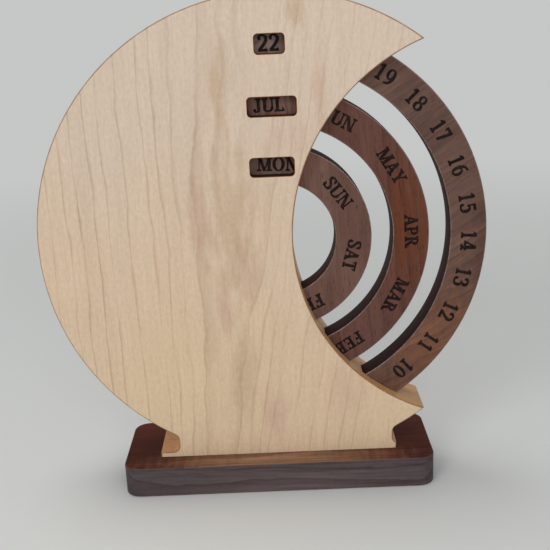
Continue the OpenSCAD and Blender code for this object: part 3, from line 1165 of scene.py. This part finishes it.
dowel = {
    "sizes": {"Diameter": 6.0 * mm, "Length": 22.0 * mm, "Flutes": 12, "Flute Depth": 0.05, "Taper": 0.12},
    "sides": 72,
    "rows": 22,
    "taperFrom": 0.88,   # as a share of half the length
    "wood": (0.56, 0.37, 0.22),
    "pore": (0.33, 0.18, 0.1),
}


def makeDowelTree():
    # a fluted dowel with tapered ends along Y at every host point
    tree, given, result = newGroup("fluted dowels", {
        "Points": "Geometry", **dowel["sizes"], "Wood": "Material"}, "Geometry", kind="GeometryNodeTree")
    rod = addShape(tree, "MeshCylinder", {
        "Vertices": dowel["sides"], "Side Segments": dowel["rows"], "Radius": given["Diameter"] * 0.5,
        "Depth": given["Length"]})
    place = axes(addShape(tree, "InputPosition"))
    angle = calc("ARCTAN2", place["Y"], place["X"])
    wave = calc("COSINE", angle * given["Flutes"])
    groove = (wave * 0.5 + 0.5) ** 4.0 * given["Flute Depth"]
    end = calc("ABSOLUTE", place["Z"]) / (given["Length"] * 0.5)
    size = 1.0 - groove - ramp(end, dowel["taperFrom"], 1.0) * given["Taper"]
    moved = joinAxes(tree, place["X"] * size, place["Y"] * size, place["Z"])
    shaped = addShape(tree, "SetPosition", {"Geometry": rod, "Position": moved})
    placed = addShape(tree, "InstanceOnPoints", {
        "Points": given["Points"], "Instance": shaped, "Rotation": facingFront})
    return endTree(tree, result, placed, given["Wood"])


def makeBeech():
    material, vector = startMaterial("beechDowel", specular=0.3)
    along = intoWood(vector, (0, 0, 0), (90, 0, 0))
    fibres = useGroup(fibreGroup, {"Vector": along, "Fine": 0.5, "Broad": 0.4, "Mottle": 0.2})
    pores = useGroup(poreGroup, {"Vector": along, "Amount": 0.5})["Mask"]
    colour = shaded(mixColour(pores, dowel["wood"], dowel["pore"]), fibres["Streaks"])
    return finishSurface(material, vector, colour, fibres["Height"], roughness=0.65)


screw = {
    "sizes": {
        "Head Radius": 4.1 * mm, "Head Height": 2.0 * mm, "Core Radius": 1.5 * mm,
        "Thread Radius": 2.05 * mm, "Length": 32.0 * mm, "Point Length": 6.0 * mm, "Turns": 15.0,
        "Slot Size": Vector((0.9, 4.4, 3.0)) * mm},   # half of its height is cut
    "slotShares": (1.0, 0.94),   # of that height: floors on one level would leave seams
    "headSides": 48,
    "shaftSides": 32,
    "turnSteps": 24,
    "neck": 0.98,            # the head's narrow end as a share of the thread
    "threadFrom": 0.17,      # shares of the shaft
    "threadLength": 0.82,
    "pointRadius": 0.1,
    "warm": (0.62, 0.61, 0.56),
    "cool": (0.5, 0.52, 0.55),
}


def makeScrewTree():
    # a countersunk cross-head screw pointing up at every host point, which is its head's underside
    tree, given, result = newGroup("base screws", {
        "Points": "Geometry", **screw["sizes"], "Metal": "Material"}, "Geometry", kind="GeometryNodeTree")

    def raised(geometry, height):
        up = joinAxes(tree, z=height)
        return addShape(tree, "Transform", {"Geometry": geometry, "Translation": up})

    core = given["Core Radius"]
    head = addShape(tree, "MeshCone", {
        "Vertices": screw["headSides"], "Radius Top": given["Thread Radius"] * screw["neck"],
        "Radius Bottom": given["Head Radius"], "Depth": given["Head Height"]})
    size = axes(given["Slot Size"])
    for (first, second), share in zip(("XY", "YX"), screw["slotShares"]):
        corner = joinAxes(tree, size[first], size[second], size["Z"] * share)
        slot = addShape(tree, "MeshCube", {"Size": corner})
        head = addShape(tree, "MeshBoolean", {"Mesh 1": head, "Mesh 2": slot}, operation="DIFFERENCE")

    shaftLength = given["Length"] - given["Point Length"]
    shaft = addShape(tree, "MeshCylinder", {
        "Vertices": screw["shaftSides"], "Radius": core, "Depth": shaftLength})
    tip = addShape(tree, "MeshCone", {
        "Vertices": screw["shaftSides"], "Radius Top": screw["pointRadius"] * mm, "Radius Bottom": core,
        "Depth": given["Point Length"]})
    helix = addShape(tree, "CurveSpiral", {
        "Resolution": screw["turnSteps"], "Rotations": given["Turns"], "Start Radius": core,
        "End Radius": core, "Height": shaftLength * screw["threadLength"]})
    helix = addShape(tree, "SetCurveNormal", {"Curve": helix}, mode="Z_UP")
    ridge = addShape(tree, "CurvePrimitiveCircle", {
        "Resolution": 3, "Radius": given["Thread Radius"] - core})
    thread = addShape(tree, "CurveToMesh", {"Curve": helix, "Profile Curve": ridge, "Fill Caps": True})
    joined = tree.nodes.new("GeometryNodeJoinGeometry")
    for part in (head, raised(shaft, shaftLength * 0.5), raised(tip, shaftLength),
                 raised(thread, shaftLength * screw["threadFrom"])):
        plug(part, joined.inputs[0])
    placed = addShape(tree, "InstanceOnPoints", {
        "Points": given["Points"], "Instance": joined.outputs[0]})
    return endTree(tree, result, placed, given["Metal"])


def makeZinc():
    material, vector = startMaterial("zincScrew", specular=0.5, metallic=1.0)
    cloudy = noise(vector, (2, 2, 2), detail=4)
    scratches = noise(vector, (0.15, 3, 3))
    colour = mixColour(ramp(cloudy, 0.35, 0.65), screw["warm"], screw["cool"])
    return finishSurface(material, vector, colour, scratches, roughness=0.34, depth=0.01)


fixingsSharp = 30   # degrees; edges that turn more than this shade as edges


def finishFixings():
    dowels = grown("beech_dowels", makeDowelTree(), {**dowel["sizes"], "Wood": makeBeech()},
                   partMiddles("board_dowels"))
    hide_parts("board_dowels")
    middles = partMiddles("base_screws")
    down = Vector((0, 0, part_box("base_screws")[0].z - middles[0].z))
    screws = grown("zinc_screws", makeScrewTree(), {**screw["sizes"], "Metal": makeZinc()},
                   [place + down for place in middles])
    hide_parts("base_screws")
    for piece in (dowels, screws):
        for face in piece.data.polygons:
            face.use_smooth = True
        piece.data.set_sharp_from_angle(angle=radians(fixingsSharp))
        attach(piece, "root")
    print("fixings:", len(dowels.data.polygons), "dowel faces,", len(screws.data.polygons), "screw faces")


finishFixings()
